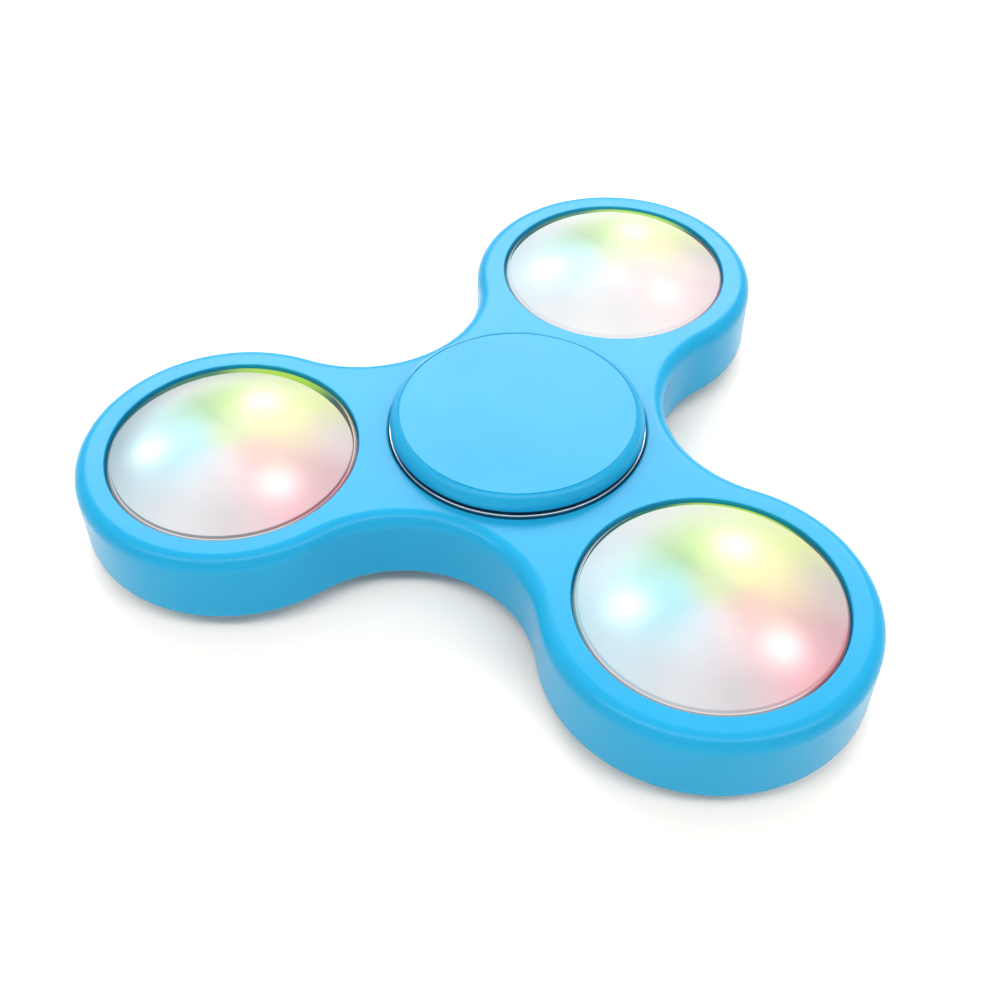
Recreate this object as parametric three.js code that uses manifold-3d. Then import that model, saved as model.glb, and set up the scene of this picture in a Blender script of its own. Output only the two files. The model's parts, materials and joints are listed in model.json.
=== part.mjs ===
// A three-lobed hand spinner with a lit capsule in each lobe. Millimetres, +Z up.
//
// The origin is on the spin axis, in the flat underside of the lower finger cap, which the spinner
// rests on. The lobes point at 90, 210 and 330 degrees from +X. Two finger caps clamp the inner ring
// of a 608 ball bearing. The body is pressed on its outer ring and carries three closed capsules,
// each with its own cell, circuit board, switch, push button and three light-emitting diodes (LEDs).
import * as THREE from "three";
import { mergeVertices } from "three/addons/utils/BufferGeometryUtils.js";
import Module from "manifold-3d";

const wasm = await Module();
wasm.setup();

// ---------------------------------------------------------------- driving dimensions

const FIT = 0.05; // gap between pieces that touch or press together
const RUNNING = 0.25; // gap between a finger cap and what turns beside it
const PAST = 1; // how far a cutter runs past the face that it opens

const LOBES = 3;
const BODY = {
  lobeDistance: 24.2, // spin axis to the middle of a lobe
  lobeRadius: 13.25,
  waistRadius: 13.1, // spin axis to the nearest point of the wall between two lobes
  thickness: 6.6,
  topEdge: 1.3, // radius of the rounded upper edge
  bottomEdge: 0.5,
  bearingChamfer: 0.25,
};

const CAP = {
  standing: 1.8, // height of each cap's face over the body's face
  topRadius: 10.14, // the crisp edge of the flat face
  rimRadius: 10.9,
  sideRadius: 1.25, // the rounded side, seen in section
  underEdge: 0.15,
  bossRadius: 5.6, // meets only the bearing's inner ring
  pinRadius: 1.9,
  pinLength: 2.1,
  socketRadius: 2.05,
};

const BEARING = {
  boreRadius: 4,
  outerRadius: 11,
  width: 7,
  pitchRadius: 7.5,
  ballRadius: 3.969 / 2,
  balls: 7,
  raceRadius: 2.1, // groove's radius, seen in section
  innerShoulder: 6.05,
  outerShoulder: 9,
  chamfer: 0.15,
  shieldSeat: 9.5,
  shieldBore: 6.35,
  shieldThickness: 0.3,
  shieldInset: 0.2, // the shields lie this far inside the ring's faces
  cageInner: 6.85,
  cageOuter: 8.15,
  cageFloor: 2.75, // below the balls' centres
  cageCrown: 1,
  pocketRadius: 2.15,
};

// The seat for each capsule, which runs through the body.
const SEAT = {
  holeRadius: 10.62,
  throatRadius: 9.95, // between the ledges that hold the cup and the back cover
  ledgeDepth: 1.05, // of both ledges, below the body's faces
};

const CUP = {
  flangeRadius: 10.48,
  flangeThickness: 0.25,
  outerRadius: 9.9,
  innerRadius: 9.25, // over the board
  shelfRadius: 8.95, // under the board
};

const LENS = {
  flangeRadius: 10.45,
  flangeThickness: 0.35,
  domeRadius: 10.15,
  domeStep: 0.35, // the dome's upright edge over the flange
  domeRise: 1.65, // from the top of that edge to the crown
  domePower: 2.4, // 2 is a paraboloid, and more is a flatter crown with a steeper edge
  wall: 0.8,
  skirtOuter: 9.2, // the skirt stands on the board and centres the lens in the cup
  skirtInner: 8.6,
};

const BACK_COVER = {
  radius: 10.48,
  thickness: 0.85,
  spigotOuter: 8.9, // the raised ring that centres the cover in the cup
  spigotInner: 8.6,
  spigotRise: 0.3,
};
const BOARD = { radius: 9.2, thickness: 0.8, bottom: 5.65 };
const LED = { length: 3.5, width: 2.8, height: 0.8, wellRadius: 1.15, wellDepth: 0.4, distance: 6.25 };
const CHIP = { length: 2.9, width: 1.6, height: 1.1, x: 5, y: -4.6 };
const CELL = {
  radius: 6.25,
  height: 2,
  capRadius: 5.2,
  capStep: 0.2,
  edge: 0.3,
  offset: 2.6, // outwards from the capsule's centre
  headroom: 0.35, // under the board, where the contact leaf bows
};
const CLIP = { width: 4, gauge: 0.2, sideGap: 0.3, slotGap: 0.1 };
const CONTACT = { length: 7, width: 3, gauge: 0.1, bow: 0.12 };
const SWITCH = { side: 3.6, height: 1.6, wellRadius: 1.05, wellDepth: 1, offset: 6.2 };
const PLUNGER = { radius: 0.9, below: 0.5, above: 0.6 };
const BUTTON = { radius: 1.6, holeRadius: 1.75, flangeRadius: 2.3, proud: 0.6, edge: 0.3 };

// Segments round each kind of turned piece.
const ROUND = { bearing: 32, cap: 36, capsule: 30, cell: 24, small: 12 };
const BALL_SEGMENTS = [10, 7];
// Steps along each curve of a section or an outline.
const LOBE_STEPS = 18;
const WAIST_STEPS = 8;
const TOP_EDGE_STEPS = 3;
const BOTTOM_EDGE_STEPS = 1;
const CAP_SIDE_STEPS = 3;
const RACE_STEPS = 4;
const BOW_STEPS = 6;
// Shares of a radius at which a dome's section is drawn, closer together where it is steeper.
const DOME_SHARES = [0, 0.34, 0.58, 0.76, 0.9, 1];
const CROWN_SHARES = [0, 0.45, 0.75, 1];

// Heights that follow from them.
const bodyBottom = CAP.standing;
const bodyTop = bodyBottom + BODY.thickness;
const middle = (bodyBottom + bodyTop) / 2;
const overallHeight = bodyTop + CAP.standing;
const bearingBottom = middle - BEARING.width / 2;
const bearingTop = middle + BEARING.width / 2;
const upperLedge = bodyTop - SEAT.ledgeDepth;
const lowerLedge = bodyBottom + SEAT.ledgeDepth;
const cupFlangeTop = upperLedge + FIT + CUP.flangeThickness;
const lensFlangeTop = cupFlangeTop + FIT + LENS.flangeThickness;
const floorTop = bodyBottom + BACK_COVER.thickness;
const boardTop = BOARD.bottom + BOARD.thickness;

// ---------------------------------------------------------------- shaping helpers

// A piece turned about Z. The profile's [radius, height] points run anticlockwise, from the axis back
// to the axis or round to the first point again.
function turned(profile, segments) {
  const points = profile.map(([radius, height]) => new THREE.Vector2(radius, height));
  return new THREE.LatheGeometry(points, segments).rotateX(Math.PI / 2);
}

const ringOf = (profile) => [...profile, profile[0]];

const plug = (radius, low, high) => [[0, low], [radius, low], [radius, high], [0, high]];

// Points along a circular arc of a profile, with its angles in degrees.
function arc(centreRadius, centreHeight, radius, from, to, steps) {
  return Array.from({ length: steps + 1 }, (_, i) => {
    const angle = THREE.MathUtils.degToRad(from + ((to - from) * i) / steps);
    return [centreRadius + radius * Math.cos(angle), centreHeight + radius * Math.sin(angle)];
  });
}

// A box by its middle in plan and its lowest and highest levels.
function block(x, y, low, high, length, width) {
  return new THREE.BoxGeometry(length, width, high - low).translate(x, y, (low + high) / 2);
}

// A closed skin over outlines that all have the same number of points, stacked from low to high.
function lofted(rings) {
  const count = rings[0].outline.length;
  const positions = rings.flatMap(({ outline, height }) => outline.flatMap((p) => [p.x, p.y, height]));
  const faces = [];
  for (let ring = 0; ring + 1 < rings.length; ring++) {
    for (let i = 0; i < count; i++) {
      const here = ring * count + i;
      const next = ring * count + ((i + 1) % count);
      faces.push(here, next, next + count, here, next + count, here + count);
    }
  }
  const lastRing = (rings.length - 1) * count;
  for (const [a, b, c] of THREE.ShapeUtils.triangulateShape(rings[0].outline, [])) {
    faces.push(c, b, a);
  }
  for (const [a, b, c] of THREE.ShapeUtils.triangulateShape(rings.at(-1).outline, [])) {
    faces.push(lastRing + a, lastRing + b, lastRing + c);
  }
  const geometry = new THREE.BufferGeometry();
  geometry.setAttribute("position", new THREE.Float32BufferAttribute(positions, 3));
  geometry.setIndex(faces);
  return geometry;
}

function solidOf(geometry) {
  const bare = geometry.clone();
  bare.deleteAttribute("normal");
  bare.deleteAttribute("uv");
  const merged = mergeVertices(bare, 1e-4);
  const mesh = new wasm.Mesh({
    numProp: 3,
    vertProperties: merged.getAttribute("position").array,
    triVerts: new Uint32Array(merged.index.array),
  });
  return new wasm.Manifold(mesh);
}

// A geometry with others cut out of it.
function cut(geometry, cutters) {
  const left = cutters.reduce((solid, cutter) => solid.subtract(solidOf(cutter)), solidOf(geometry));
  const mesh = left.getMesh();
  const result = new THREE.BufferGeometry();
  result.setAttribute("position", new THREE.BufferAttribute(mesh.vertProperties, 3));
  result.setIndex(new THREE.BufferAttribute(mesh.triVerts, 1));
  result.computeVertexNormals();
  return result;
}

// ---------------------------------------------------------------- materials

const finish = (color, roughness, metalness = 0, extra = {}) =>
  new THREE.MeshStandardMaterial({ color, roughness, metalness, ...extra });

const glowing = (color) => finish(color, 0.3, 0, { emissive: color, emissiveIntensity: 0.6 });

const MATERIAL = {
  bluePlastic: finish(0x38b2f0, 0.38),
  whitePlastic: finish(0xf2f3f5, 0.35),
  milkyPlastic: finish(0xf4f5fa, 0.25, 0, { emissive: 0xe8ecf6, emissiveIntensity: 0.4 }),
  bearingSteel: finish(0xc9ced3, 0.22, 1),
  cageSteel: finish(0xb3a88f, 0.4, 1),
  greenBoard: finish(0x1d6b45, 0.45),
  blackPlastic: finish(0x1b1c1e, 0.5),
  cellSteel: finish(0xc4c6c8, 0.3, 1),
  springSteel: finish(0xb9b5a8, 0.3, 1),
  brass: finish(0xc9a14a, 0.3, 1),
  yellow: glowing(0xf2ff5a),
  cyan: glowing(0x6ff0ff),
  red: glowing(0xff5a78),
};

function piece(name, geometry, material) {
  const mesh = new THREE.Mesh(geometry, material);
  mesh.name = name;
  return mesh;
}

// ---------------------------------------------------------------- body

// The body's outline moved in by inset: a convex arc round each lobe and a hollow arc between each
// two, tangent to one another. Moving it in changes the arcs' radii and leaves their centres.
function bodyOutline(inset) {
  const { lobeDistance, lobeRadius, waistRadius } = BODY;
  const half = Math.PI / LOBES;
  const along = lobeDistance * Math.cos(half);
  const hollowRadius =
    (lobeDistance ** 2 + waistRadius ** 2 - 2 * along * waistRadius - lobeRadius ** 2) /
    (2 * (lobeRadius + along - waistRadius));
  const hollowDistance = waistRadius + hollowRadius;
  // The line of the two arcs' centres leans by this much from the lobe's own axis.
  const lean = Math.atan2(
    hollowDistance * Math.sin(half),
    hollowDistance * Math.cos(half) - lobeDistance,
  );
  const outline = [];
  const addArc = (distance, direction, radius, from, to, clockwise, steps) => {
    const x = distance * Math.cos(direction);
    const y = distance * Math.sin(direction);
    const curve = new THREE.EllipseCurve(x, y, radius, radius, from, to, clockwise);
    outline.push(...curve.getPoints(steps).slice(0, -1));
  };
  for (let lobe = 0; lobe < LOBES; lobe++) {
    const axis = Math.PI / 2 + lobe * 2 * half;
    const hollow = axis + half;
    addArc(lobeDistance, axis, lobeRadius - inset, axis - lean, axis + lean, false, LOBE_STEPS);
    const start = axis + lean + Math.PI;
    const end = 2 * (hollow + Math.PI) - start;
    addArc(hollowDistance, hollow, hollowRadius + inset, start, end, true, WAIST_STEPS);
  }
  return outline;
}

const capsuleCentre = (lobe) => {
  const direction = Math.PI / 2 + (lobe * 2 * Math.PI) / LOBES;
  return [BODY.lobeDistance * Math.cos(direction), BODY.lobeDistance * Math.sin(direction)];
};

function bodyFrame() {
  const rings = [];
  const quarter = (steps) => Array.from({ length: steps + 1 }, (_, i) => (i / steps) * (Math.PI / 2));
  for (const angle of quarter(BOTTOM_EDGE_STEPS)) {
    const inset = BODY.bottomEdge * (1 - Math.sin(angle));
    const rise = BODY.bottomEdge * (1 - Math.cos(angle));
    rings.push({ outline: bodyOutline(inset), height: bodyBottom + rise });
  }
  for (const angle of quarter(TOP_EDGE_STEPS)) {
    const inset = BODY.topEdge * (1 - Math.cos(angle));
    const drop = BODY.topEdge * (1 - Math.sin(angle));
    rings.push({ outline: bodyOutline(inset), height: bodyTop - drop });
  }
  const seat = BEARING.outerRadius + FIT;
  const mouth = seat + BODY.bearingChamfer;
  const bearingSeat = turned(
    [
      [0, bodyBottom - PAST],
      [mouth, bodyBottom - PAST],
      [mouth, bodyBottom],
      [seat, bodyBottom + BODY.bearingChamfer],
      [seat, bodyTop - BODY.bearingChamfer],
      [mouth, bodyTop],
      [mouth, bodyTop + PAST],
      [0, bodyTop + PAST],
    ],
    ROUND.bearing,
  );
  const capsuleSeats = Array.from({ length: LOBES }, (_, lobe) =>
    turned(
      [
        [0, bodyBottom - PAST],
        [SEAT.holeRadius, bodyBottom - PAST],
        [SEAT.holeRadius, lowerLedge],
        [SEAT.throatRadius, lowerLedge],
        [SEAT.throatRadius, upperLedge],
        [SEAT.holeRadius, upperLedge],
        [SEAT.holeRadius, bodyTop + PAST],
        [0, bodyTop + PAST],
      ],
      ROUND.capsule,
    ).translate(...capsuleCentre(lobe), 0),
  );
  return piece("body_frame", cut(lofted(rings), [bearingSeat, ...capsuleSeats]), MATERIAL.bluePlastic);
}

// ---------------------------------------------------------------- finger caps

// The upper cap's outside, from under its rim up to the middle of its face.
function capFace() {
  const sideCentre = CAP.rimRadius - CAP.sideRadius;
  const crease = THREE.MathUtils.radToDeg(Math.acos((CAP.topRadius - sideCentre) / CAP.sideRadius));
  const sideHeight = overallHeight - CAP.sideRadius * Math.sin(THREE.MathUtils.degToRad(crease));
  const under = bearingTop + RUNNING;
  return [
    [CAP.bossRadius, bearingTop + FIT],
    [CAP.bossRadius, under],
    [CAP.rimRadius - CAP.underEdge, under],
    [CAP.rimRadius, under + CAP.underEdge],
    ...arc(sideCentre, sideHeight, CAP.sideRadius, 0, crease, CAP_SIDE_STEPS),
    [0, overallHeight],
  ];
}

function topCap() {
  const stem = BEARING.boreRadius - FIT;
  const tip = middle - CAP.pinLength;
  const profile = [
    [0, tip],
    [CAP.pinRadius, tip],
    [CAP.pinRadius, middle + 2 * FIT],
    [stem, middle + 2 * FIT],
    [stem, bearingTop + FIT],
    ...capFace(),
  ];
  return piece("top_cap", turned(profile, ROUND.cap), MATERIAL.bluePlastic);
}

function bottomCap() {
  const stem = BEARING.boreRadius - FIT;
  const mirrored = capFace().map(([radius, height]) => [radius, overallHeight - height]);
  const profile = [
    ...mirrored.reverse(),
    [stem, bearingBottom - FIT],
    [stem, middle - 2 * FIT],
    [CAP.socketRadius, middle - 2 * FIT],
    [CAP.socketRadius, middle - CAP.pinLength - 2 * FIT],
    [0, middle - CAP.pinLength - 2 * FIT],
  ];
  return piece("bottom_cap", turned(profile, ROUND.cap), MATERIAL.bluePlastic);
}

// ---------------------------------------------------------------- ball bearing

// Where a race's groove meets a shoulder, as an angle in degrees at the ball's centre.
function grooveAngle(shoulder) {
  return THREE.MathUtils.radToDeg(Math.acos((shoulder - BEARING.pitchRadius) / BEARING.raceRadius));
}

function outerRing() {
  const { outerRadius, chamfer, shieldSeat, outerShoulder, pitchRadius, raceRadius } = BEARING;
  const seatDepth = BEARING.shieldInset + BEARING.shieldThickness + FIT;
  const meets = grooveAngle(outerShoulder);
  const profile = [
    [shieldSeat, bearingBottom],
    [outerRadius - chamfer, bearingBottom],
    [outerRadius, bearingBottom + chamfer],
    [outerRadius, bearingTop - chamfer],
    [outerRadius - chamfer, bearingTop],
    [shieldSeat, bearingTop],
    [shieldSeat, bearingTop - seatDepth],
    [outerShoulder, bearingTop - seatDepth],
    ...arc(pitchRadius, middle, raceRadius, meets, -meets, RACE_STEPS),
    [outerShoulder, bearingBottom + seatDepth],
    [shieldSeat, bearingBottom + seatDepth],
  ];
  return piece("bearing_outer_ring", turned(ringOf(profile), ROUND.bearing), MATERIAL.bearingSteel);
}

function innerRing() {
  const { boreRadius, innerShoulder, pitchRadius, raceRadius } = BEARING;
  const meets = grooveAngle(innerShoulder);
  const profile = [
    [boreRadius, bearingBottom],
    [innerShoulder, bearingBottom],
    ...arc(pitchRadius, middle, raceRadius, 360 - meets, meets, RACE_STEPS),
    [innerShoulder, bearingTop],
    [boreRadius, bearingTop],
  ];
  return piece("bearing_inner_ring", turned(ringOf(profile), ROUND.bearing), MATERIAL.bearingSteel);
}

function shield(name, face, inwards) {
  const { shieldBore, shieldSeat, shieldThickness, shieldInset } = BEARING;
  const levels = [shieldInset, shieldInset + shieldThickness].map((depth) => face + inwards * depth);
  const [low, high] = levels.sort((a, b) => a - b);
  const profile = [
    [shieldBore, low],
    [shieldSeat - FIT, low],
    [shieldSeat - FIT, high],
    [shieldBore, high],
  ];
  return piece(name, turned(ringOf(profile), ROUND.bearing), MATERIAL.bearingSteel);
}

const ballCentre = (ball) => {
  const direction = (ball * 2 * Math.PI) / BEARING.balls;
  const { pitchRadius } = BEARING;
  return [pitchRadius * Math.cos(direction), pitchRadius * Math.sin(direction), middle];
};

function cage() {
  const { cageInner, cageOuter, cageFloor, cageCrown, pocketRadius } = BEARING;
  const band = turned(
    ringOf([
      [cageInner, middle - cageFloor],
      [cageOuter, middle - cageFloor],
      [cageOuter, middle + cageCrown],
      [cageInner, middle + cageCrown],
    ]),
    ROUND.bearing,
  );
  const pockets = Array.from({ length: BEARING.balls }, (_, ball) =>
    new THREE.SphereGeometry(pocketRadius, ...BALL_SEGMENTS)
      .rotateX(Math.PI / 2)
      .translate(...ballCentre(ball)),
  );
  return piece("bearing_cage", cut(band, pockets), MATERIAL.cageSteel);
}

function ball(index) {
  const geometry = new THREE.SphereGeometry(BEARING.ballRadius, ...BALL_SEGMENTS).rotateX(Math.PI / 2);
  const mesh = piece(`bearing_ball_${index + 1}`, geometry, MATERIAL.bearingSteel);
  mesh.position.set(...ballCentre(index));
  return mesh;
}

function bearing() {
  const group = new THREE.Group();
  group.add(outerRing(), innerRing(), cage());
  group.add(shield("bearing_shield_top", bearingTop, -1));
  group.add(shield("bearing_shield_bottom", bearingBottom, 1));
  for (let index = 0; index < BEARING.balls; index++) group.add(ball(index));
  return group;
}

// ---------------------------------------------------------------- capsule
// Each capsule is modelled about its own centre, with +Y away from the spin axis.

// The dome's section from the axis out to a radius, at a depth below the lens's outer face.
function domeSection(outTo, depth, shares) {
  const edgeTop = lensFlangeTop + LENS.domeStep;
  return shares.map((share) => {
    const radius = share * outTo;
    const rise = LENS.domeRise * (1 - (radius / LENS.domeRadius) ** LENS.domePower);
    return [radius, edgeTop + rise - depth];
  });
}

function lensGeometry() {
  const under = cupFlangeTop + FIT;
  const profile = [
    ...domeSection(LENS.skirtInner, LENS.wall, CROWN_SHARES),
    [LENS.skirtInner, boardTop + FIT],
    [LENS.skirtOuter, boardTop + FIT],
    [LENS.skirtOuter, under],
    [LENS.flangeRadius, under],
    [LENS.flangeRadius, lensFlangeTop],
    [LENS.domeRadius, lensFlangeTop],
    ...domeSection(LENS.domeRadius, 0, DOME_SHARES).reverse(),
  ];
  return turned(profile, ROUND.capsule);
}

// A sleeve that hangs in the seat by its flange, with a shelf inside that carries the board.
function cupGeometry() {
  const shelf = BOARD.bottom - FIT;
  const profile = [
    [CUP.shelfRadius, floorTop + FIT],
    [CUP.outerRadius, floorTop + FIT],
    [CUP.outerRadius, upperLedge + FIT],
    [CUP.flangeRadius, upperLedge + FIT],
    [CUP.flangeRadius, cupFlangeTop],
    [CUP.innerRadius, cupFlangeTop],
    [CUP.innerRadius, shelf],
    [CUP.shelfRadius, shelf],
  ];
  return turned(ringOf(profile), ROUND.capsule);
}

function backCoverGeometry() {
  const { radius, spigotOuter, spigotInner, spigotRise } = BACK_COVER;
  const disc = turned(
    [
      [0, bodyBottom],
      [radius, bodyBottom],
      [radius, floorTop],
      [spigotOuter, floorTop],
      [spigotOuter, floorTop + spigotRise],
      [spigotInner, floorTop + spigotRise],
      [spigotInner, floorTop],
      [0, floorTop],
    ],
    ROUND.capsule,
  );
  const buttonHole = turned(plug(BUTTON.holeRadius, bodyBottom - PAST, floorTop + PAST), ROUND.small);
  return cut(disc, [buttonHole.translate(0, -SWITCH.offset, 0)]);
}

// The clip's two legs stand on either side of the cell.
const clipLegInner = CELL.radius + CLIP.sideGap;
const cellBottom = BOARD.bottom - CELL.headroom - CELL.height;
const clipBottom = cellBottom - FIT - CLIP.gauge;

function boardGeometry() {
  const slotLength = CLIP.width + 2 * CLIP.slotGap;
  const slotWidth = CLIP.gauge + 2 * CLIP.slotGap;
  const legMiddle = clipLegInner + CLIP.gauge / 2;
  const low = BOARD.bottom - PAST;
  const high = boardTop + PAST;
  const slots = [-1, 1].map((side) =>
    block(side * legMiddle, CELL.offset, low, high, slotWidth, slotLength),
  );
  return cut(turned(plug(BOARD.radius, BOARD.bottom, boardTop), ROUND.capsule), slots);
}

function clipGeometry() {
  const outer = clipLegInner + CLIP.gauge;
  const section = new THREE.Shape([
    new THREE.Vector2(-outer, boardTop),
    new THREE.Vector2(-outer, clipBottom),
    new THREE.Vector2(outer, clipBottom),
    new THREE.Vector2(outer, boardTop),
    new THREE.Vector2(clipLegInner, boardTop),
    new THREE.Vector2(clipLegInner, clipBottom + CLIP.gauge),
    new THREE.Vector2(-clipLegInner, clipBottom + CLIP.gauge),
    new THREE.Vector2(-clipLegInner, boardTop),
  ]);
  return new THREE.ExtrudeGeometry(section, { depth: CLIP.width, bevelEnabled: false })
    .rotateX(Math.PI / 2)
    .translate(0, CELL.offset + CLIP.width / 2, 0);
}

// A bowed leaf, whose middle presses on the cell and whose ends press on the board.
function contactGeometry() {
  const { length, width, gauge, bow } = CONTACT;
  const ends = BOARD.bottom - FIT - gauge;
  const across = Array.from({ length: BOW_STEPS + 1 }, (_, i) => (i / BOW_STEPS - 0.5) * length);
  const lower = across.map((x) => [x, ends - bow * (1 - (2 * x / length) ** 2)]);
  const upper = lower.map(([x, height]) => [x, height + gauge]).reverse();
  const corners = [...lower, ...upper].map(([x, height]) => new THREE.Vector2(x, height));
  const section = new THREE.Shape(corners);
  return new THREE.ExtrudeGeometry(section, { depth: width, bevelEnabled: false })
    .rotateX(Math.PI / 2)
    .translate(0, CELL.offset + width / 2, 0);
}

function cellGeometry() {
  const { radius, height, capRadius, capStep, edge } = CELL;
  const top = cellBottom + height;
  const profile = [
    [0, cellBottom],
    [radius - edge, cellBottom],
    [radius, cellBottom + edge],
    [radius, top - capStep],
    [capRadius, top - capStep],
    [capRadius, top],
    [0, top],
  ];
  return turned(profile, ROUND.cell).translate(0, CELL.offset, 0);
}

// The LEDs' directions about the capsule's centre, in degrees.
const ledDirections = Array.from({ length: LOBES }, (_, i) => 90 + i * 120);

function placedByLed(geometry, direction) {
  const angle = THREE.MathUtils.degToRad(direction);
  return geometry
    .rotateZ(angle - Math.PI / 2)
    .translate(LED.distance * Math.cos(angle), LED.distance * Math.sin(angle), 0);
}

function ledGeometry(direction) {
  const top = boardTop + FIT + LED.height;
  const body = block(0, 0, boardTop + FIT, top, LED.length, LED.width);
  const well = turned(plug(LED.wellRadius, top - LED.wellDepth, top + PAST), ROUND.small);
  return placedByLed(cut(body, [well]), direction);
}

function chipGeometry() {
  const top = BOARD.bottom - FIT;
  return block(CHIP.x, CHIP.y, top - CHIP.height, top, CHIP.width, CHIP.length);
}

function switchGeometry() {
  const top = BOARD.bottom - FIT;
  const bottom = top - SWITCH.height;
  const housing = block(0, -SWITCH.offset, bottom, top, SWITCH.side, SWITCH.side);
  const well = turned(plug(SWITCH.wellRadius, bottom - PAST, bottom + SWITCH.wellDepth), ROUND.small);
  return cut(housing, [well.translate(0, -SWITCH.offset, 0)]);
}

const switchBottom = BOARD.bottom - FIT - SWITCH.height;
const plungerTip = switchBottom - PLUNGER.below;

function plungerGeometry() {
  const profile = plug(PLUNGER.radius, plungerTip, switchBottom + PLUNGER.above);
  return turned(profile, ROUND.small).translate(0, -SWITCH.offset, 0);
}

function buttonGeometry() {
  const { radius, flangeRadius, proud, edge } = BUTTON;
  const face = bodyBottom - proud;
  const flangeBottom = floorTop + FIT;
  const profile = [
    [0, face],
    [radius - edge, face],
    [radius, face + edge],
    [radius, flangeBottom],
    [flangeRadius, flangeBottom],
    [flangeRadius, plungerTip - FIT],
    [0, plungerTip - FIT],
  ];
  return turned(profile, ROUND.small).translate(0, -SWITCH.offset, 0);
}

// The colours that the LEDs show, by the direction that each one has on the whole spinner.
const LED_COLOURS = { 90: "yellow", 210: "cyan", 330: "red" };

function capsule(lobe) {
  const number = lobe + 1;
  const turn = (lobe * 360) / LOBES;
  const group = new THREE.Group();
  group.position.set(...capsuleCentre(lobe), 0);
  group.rotation.z = THREE.MathUtils.degToRad(turn);
  const add = (name, geometry, material) => group.add(piece(`${name}_${number}`, geometry, material));
  add("lens", lensGeometry(), MATERIAL.milkyPlastic);
  add("capsule_cup", cupGeometry(), MATERIAL.whitePlastic);
  for (const direction of ledDirections) {
    const colour = LED_COLOURS[(direction + turn) % 360];
    add(`led_${colour}`, ledGeometry(direction), MATERIAL[colour]);
  }
  add("circuit_board", boardGeometry(), MATERIAL.greenBoard);
  add("controller_chip", chipGeometry(), MATERIAL.blackPlastic);
  add("battery_contact", contactGeometry(), MATERIAL.brass);
  add("coin_cell", cellGeometry(), MATERIAL.cellSteel);
  add("battery_clip", clipGeometry(), MATERIAL.springSteel);
  add("switch_housing", switchGeometry(), MATERIAL.blackPlastic);
  add("switch_plunger", plungerGeometry(), MATERIAL.blackPlastic);
  add("push_button", buttonGeometry(), MATERIAL.whitePlastic);
  add("back_cover", backCoverGeometry(), MATERIAL.whitePlastic);
  return group;
}

// ---------------------------------------------------------------- the whole spinner

const spinner = new THREE.Group();
spinner.add(bodyFrame(), bearing(), topCap(), bottomCap());
for (let lobe = 0; lobe < LOBES; lobe++) spinner.add(capsule(lobe));

export default spinner;
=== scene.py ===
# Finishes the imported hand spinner: fine meshes, procedural materials, studio light and the camera.
import json
import math

import bmesh
import bpy
from mathutils import Matrix, Vector


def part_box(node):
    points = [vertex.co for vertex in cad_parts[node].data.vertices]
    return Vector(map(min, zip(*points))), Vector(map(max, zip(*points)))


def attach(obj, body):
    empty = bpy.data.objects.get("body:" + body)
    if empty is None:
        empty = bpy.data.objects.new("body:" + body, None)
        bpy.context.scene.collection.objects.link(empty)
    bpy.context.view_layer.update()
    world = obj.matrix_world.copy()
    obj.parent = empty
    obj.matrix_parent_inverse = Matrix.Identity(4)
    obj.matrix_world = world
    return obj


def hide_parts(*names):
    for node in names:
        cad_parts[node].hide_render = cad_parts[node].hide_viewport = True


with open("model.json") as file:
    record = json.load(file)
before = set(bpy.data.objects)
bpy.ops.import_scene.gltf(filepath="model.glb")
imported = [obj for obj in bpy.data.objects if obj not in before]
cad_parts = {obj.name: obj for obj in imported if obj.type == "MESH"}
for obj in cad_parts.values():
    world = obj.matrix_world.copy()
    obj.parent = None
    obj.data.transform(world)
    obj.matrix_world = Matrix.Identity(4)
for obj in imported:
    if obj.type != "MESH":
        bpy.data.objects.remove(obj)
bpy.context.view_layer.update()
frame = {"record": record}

# -------- sizes, in millimetres

MM = 0.001
LOBES = 3

# Read from the frame.
body_low, body_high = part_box("body_frame")
ring_low, ring_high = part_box("bearing_outer_ring")
BODY_BOTTOM = body_low.z / MM
BODY_TOP = body_high.z / MM
MIDDLE = (BODY_BOTTOM + BODY_TOP) / 2
BEARING_BOTTOM = ring_low.z / MM
BEARING_TOP = ring_high.z / MM
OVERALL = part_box("top_cap")[1].z / MM
BUTTON_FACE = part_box("push_button_1")[0].z / MM

# The same driving sizes as the CAD model's.
FIT = 0.05  # gap between pieces that touch or press together
RUNNING = 0.25  # gap between a finger cap and what turns beside it
PAST = 1  # how far a cutter runs past the face that it opens
LOBE_DISTANCE = 24.2  # spin axis to the middle of a lobe
LOBE_RADIUS = 13.25
WAIST_RADIUS = 13.1  # spin axis to the nearest point of the wall between two lobes
TOP_EDGE = 1.3
BOTTOM_EDGE = 0.5
SEAT_RADIUS = 10.62  # of the capsules' seats, which run through the body
THROAT_RADIUS = 9.95
LEDGE_DEPTH = 1.05
BALLS = 7
BEARING = {
    "bore": 4, "radius": 11, "pitch": 7.5, "ball": 3.969 / 2, "race": 2.1,
    "inner_shoulder": 6.05, "outer_shoulder": 9, "shield_seat": 9.5, "seat_depth": 0.55,
}
SHIELD = {"bore": 6.35, "step": 8.7, "edge": 9.45, "thickness": 0.3, "inset": 0.2, "dish": 0.08}
CAGE = {"inner": 6.85, "outer": 8.15, "floor": 2.75, "crown": 1, "pocket": 2.12}
CAP = {"rim": 10.9, "face": 10.14, "side": 1.25, "boss": 5.6, "stem": 3.95, "score": 0.07}
PIN = {"radius": 1.9, "length": 2.1, "socket": 2.05}
CUP = {"flange": 10.48, "thickness": 0.25, "outer": 9.9, "over_board": 9.25, "under_board": 8.95}
FLANGE_RADIUS = 10.45  # of the lens
FLANGE_THICKNESS = 0.35
DOME_RADIUS = 10.15
DOME_STEP = 0.35  # the dome's upright edge over the flange
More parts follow.
